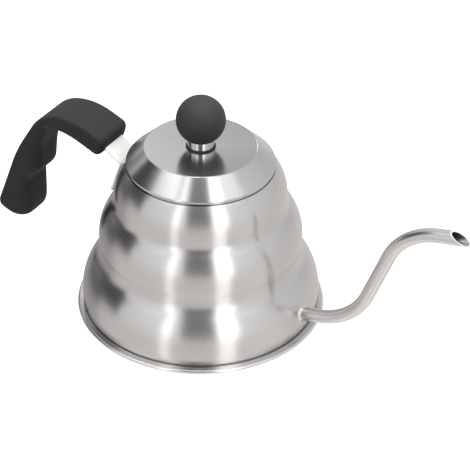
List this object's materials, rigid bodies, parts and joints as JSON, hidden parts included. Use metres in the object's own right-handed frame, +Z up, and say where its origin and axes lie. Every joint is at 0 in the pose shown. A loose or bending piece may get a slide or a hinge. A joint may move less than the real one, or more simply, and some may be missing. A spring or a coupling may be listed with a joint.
{
  "type": "gooseneck kettle",
  "caption": "Stove-top pouring kettle with a stepped steel body, a slim gooseneck spout, a lift-off lid with a ball knob and a black hooked grip on a steel strap.",
  "frame": {"origin": "middle of the flat base, on the plane that the kettle stands on", "axes": "+X towards the spout, -X towards the handle, +Z up along the body's axis"},
  "size_m": [0.3163, 0.15, 0.1434],
  "materials": {
    "satin_steel": "satin, finely brushed round the body",
    "polished_steel": "polished",
    "fastener_steel": "plain bright",
    "black_plastic": "fine matte grain",
    "dark_rubber": "matte",
    "insert_brass": "as turned"
  },
  "bodies": {
    "kettle": {"body_shell": "satin_steel", "base_pan": "satin_steel", "spout_tube": "satin_steel", "spout_weld": "satin_steel", "handle_strap": "satin_steel", "handle_grip": "black_plastic", "grip_screws": "fastener_steel", "grip_washers": "fastener_steel"},
    "lid": {"lid_shell": "satin_steel", "lid_inner_ring": "satin_steel", "knob_seal": "dark_rubber", "knob_collar": "polished_steel", "knob_ball": "black_plastic", "knob_insert": "insert_brass", "knob_screw": "fastener_steel", "knob_washer": "fastener_steel"}
  },
  "joints": [
    {"name": "lid_lift", "type": "slide", "parent": "kettle", "child": "lid", "axis": [0, 0, 1], "range_m": [0, 0.06]}
  ]
}
